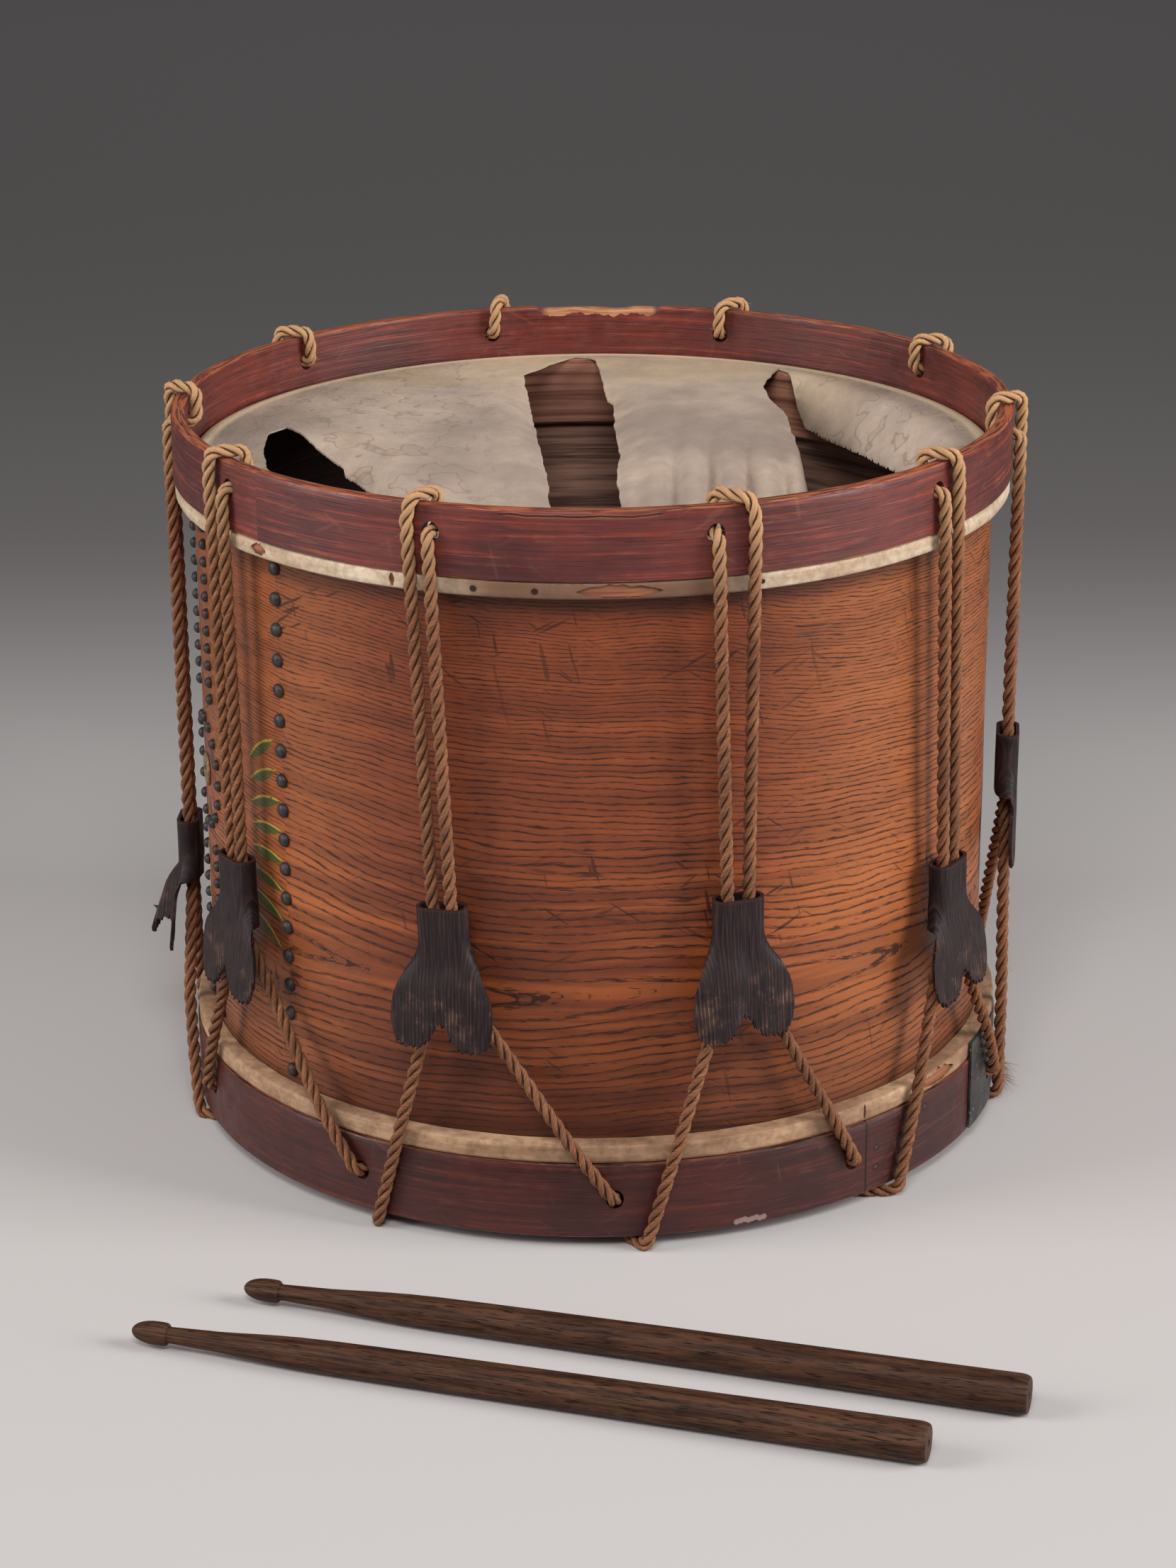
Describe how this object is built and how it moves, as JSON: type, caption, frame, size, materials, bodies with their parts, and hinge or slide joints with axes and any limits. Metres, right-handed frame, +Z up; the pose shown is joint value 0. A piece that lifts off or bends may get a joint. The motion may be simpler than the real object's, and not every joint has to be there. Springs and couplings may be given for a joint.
{
  "type": "rope-tension field drum",
  "caption": "Old wooden field drum with a torn batter skin, counter hoops laced with hemp rope through black leather ears, gut snares below, with its drumsticks beside it.",
  "frame": {"origin": "on the floor, in the middle of the rectangle that the drum and its two sticks cover together", "axes": "+Z up along the drum's axis, -Y towards the front where the sticks lie, +X to the right seen from the front; the drum's axis stands at x 0.0021, y 0.1037 m"},
  "size_m": [0.4708, 0.666, 0.392],
  "materials": {
    "shell_wood": "varnished orange-brown oak, worn",
    "upper_hoop_wood": "dark red-brown paint over wood, worn",
    "lower_hoop_wood": "dull maroon paint over wood, worn",
    "ring_wood": "bare dark wood",
    "flesh_hoop_wood": "bare ash",
    "skin": "stained calfskin, dry",
    "hemp_rope": "tan-brown laid hemp",
    "black_leather": "black leather, cracked",
    "tack_iron": "dark domed iron",
    "vent_boxwood": "turned pale boxwood",
    "gut": "twisted gut, translucent yellow",
    "dark_sheet": "dark grey-green sheet metal",
    "strainer_iron": "blackened iron",
    "stick_walnut": "dark oiled walnut"
  },
  "bodies": {
    "drum": {"shell": "shell_wood", "upper_glue_ring": "ring_wood", "lower_glue_ring": "ring_wood", "vent_bushing": "vent_boxwood", "upper_flesh_hoop": "flesh_hoop_wood", "lower_flesh_hoop": "flesh_hoop_wood", "batter_head": "skin", "snare_head": "skin", "upper_counter_hoop": "upper_hoop_wood", "lower_counter_hoop": "lower_hoop_wood", "tension_rope": "hemp_rope", "gut_snares": "gut", "snare_butt_plate": "dark_sheet", "strainer_frame": "strainer_iron", "seam_tack_01": "tack_iron", "seam_tack_02": "tack_iron", "seam_tack_03": "tack_iron", "seam_tack_04": "tack_iron", "seam_tack_05": "tack_iron", "seam_tack_06": "tack_iron", "seam_tack_07": "tack_iron", "seam_tack_08": "tack_iron", "seam_tack_09": "tack_iron", "seam_tack_10": "tack_iron", "seam_tack_11": "tack_iron", "seam_tack_12": "tack_iron", "seam_tack_13": "tack_iron", "seam_tack_14": "tack_iron", "seam_tack_15": "tack_iron", "seam_tack_16": "tack_iron", "seam_tack_17": "tack_iron", "seam_tack_18": "tack_iron"},
    "ear_01": {"ear_01": "black_leather"},
    "ear_02": {"ear_02": "black_leather"},
    "ear_03": {"ear_03": "black_leather"},
    "ear_04": {"ear_04": "black_leather"},
    "ear_05": {"ear_05": "black_leather"},
    "ear_06": {"ear_06": "black_leather"},
    "ear_07": {"ear_07": "black_leather"},
    "ear_08": {"ear_08": "black_leather"},
    "ear_09": {"ear_09": "black_leather"},
    "ear_10": {"ear_10": "black_leather"},
    "strainer_jaw": {"strainer_jaw": "strainer_iron"},
    "strainer_wing_nut": {"strainer_wing_nut": "strainer_iron"},
    "drumstick_1": {"drumstick_1": "stick_walnut"},
    "drumstick_2": {"drumstick_2": "stick_walnut"}
  },
  "joints": [
    {"name": "ear_01_slide", "type": "slide", "parent": "drum", "child": "ear_01", "axis": [-0.0363, 0.0046, 0.9993], "range_m": [0, 0.08]},
    {"name": "ear_02_slide", "type": "slide", "parent": "drum", "child": "ear_02", "axis": [-0.0146, -0.0138, 0.9998], "range_m": [0, 0.08]},
    {"name": "ear_03_slide", "type": "slide", "parent": "drum", "child": "ear_03", "axis": [-0.0228, -0.0439, 0.9988], "range_m": [0, 0.08]},
    {"name": "ear_04_slide", "type": "slide", "parent": "drum", "child": "ear_04", "axis": [0.0084, -0.0109, 0.9999], "range_m": [0, 0.08]},
    {"name": "ear_05_slide", "type": "slide", "parent": "drum", "child": "ear_05", "axis": [0.0224, -0.0208, 0.9995], "range_m": [0, 0.08]},
    {"name": "ear_06_slide", "type": "slide", "parent": "drum", "child": "ear_06", "axis": [0.0146, 0.0037, 0.9999], "range_m": [0, 0.08]},
    {"name": "ear_07_slide", "type": "slide", "parent": "drum", "child": "ear_07", "axis": [0.0146, 0.0125, 0.9998], "range_m": [0, 0.08]},
    {"name": "ear_08_slide", "type": "slide", "parent": "drum", "child": "ear_08", "axis": [0.0048, 0.0194, 0.9998], "range_m": [0, 0.08]},
    {"name": "ear_09_slide", "type": "slide", "parent": "drum", "child": "ear_09", "axis": [-0.0069, 0.0133, 0.9999], "range_m": [0, 0.08]},
    {"name": "ear_10_slide", "type": "slide", "parent": "drum", "child": "ear_10", "axis": [-0.0127, 0.004, 0.9999], "range_m": [0, 0.08]},
    {"name": "strainer_nut_turn", "type": "hinge", "parent": "drum", "child": "strainer_wing_nut", "pos_m": [-0.22086, 0.19929, 0.03354], "axis": [0.9191, -0.3939, 0], "range_deg": [0, 1440]},
    {"name": "strainer_jaw_slide", "type": "slide", "parent": "drum", "child": "strainer_jaw", "axis": [-0.9191, 0.3939, 0], "range_m": [0, 0.005]},
    {"name": "drumstick_1_lift", "type": "slide", "parent": "drum", "child": "drumstick_1", "axis": [0, 0, 1], "range_m": [0, 0.15]},
    {"name": "drumstick_2_lift", "type": "slide", "parent": "drum", "child": "drumstick_2", "axis": [0, 0, 1], "range_m": [0, 0.15]}
  ],
  "couplings": [
    {"joint": "strainer_nut_turn", "follows": "strainer_jaw_slide", "rad_per_m": 5026.5}
  ]
}
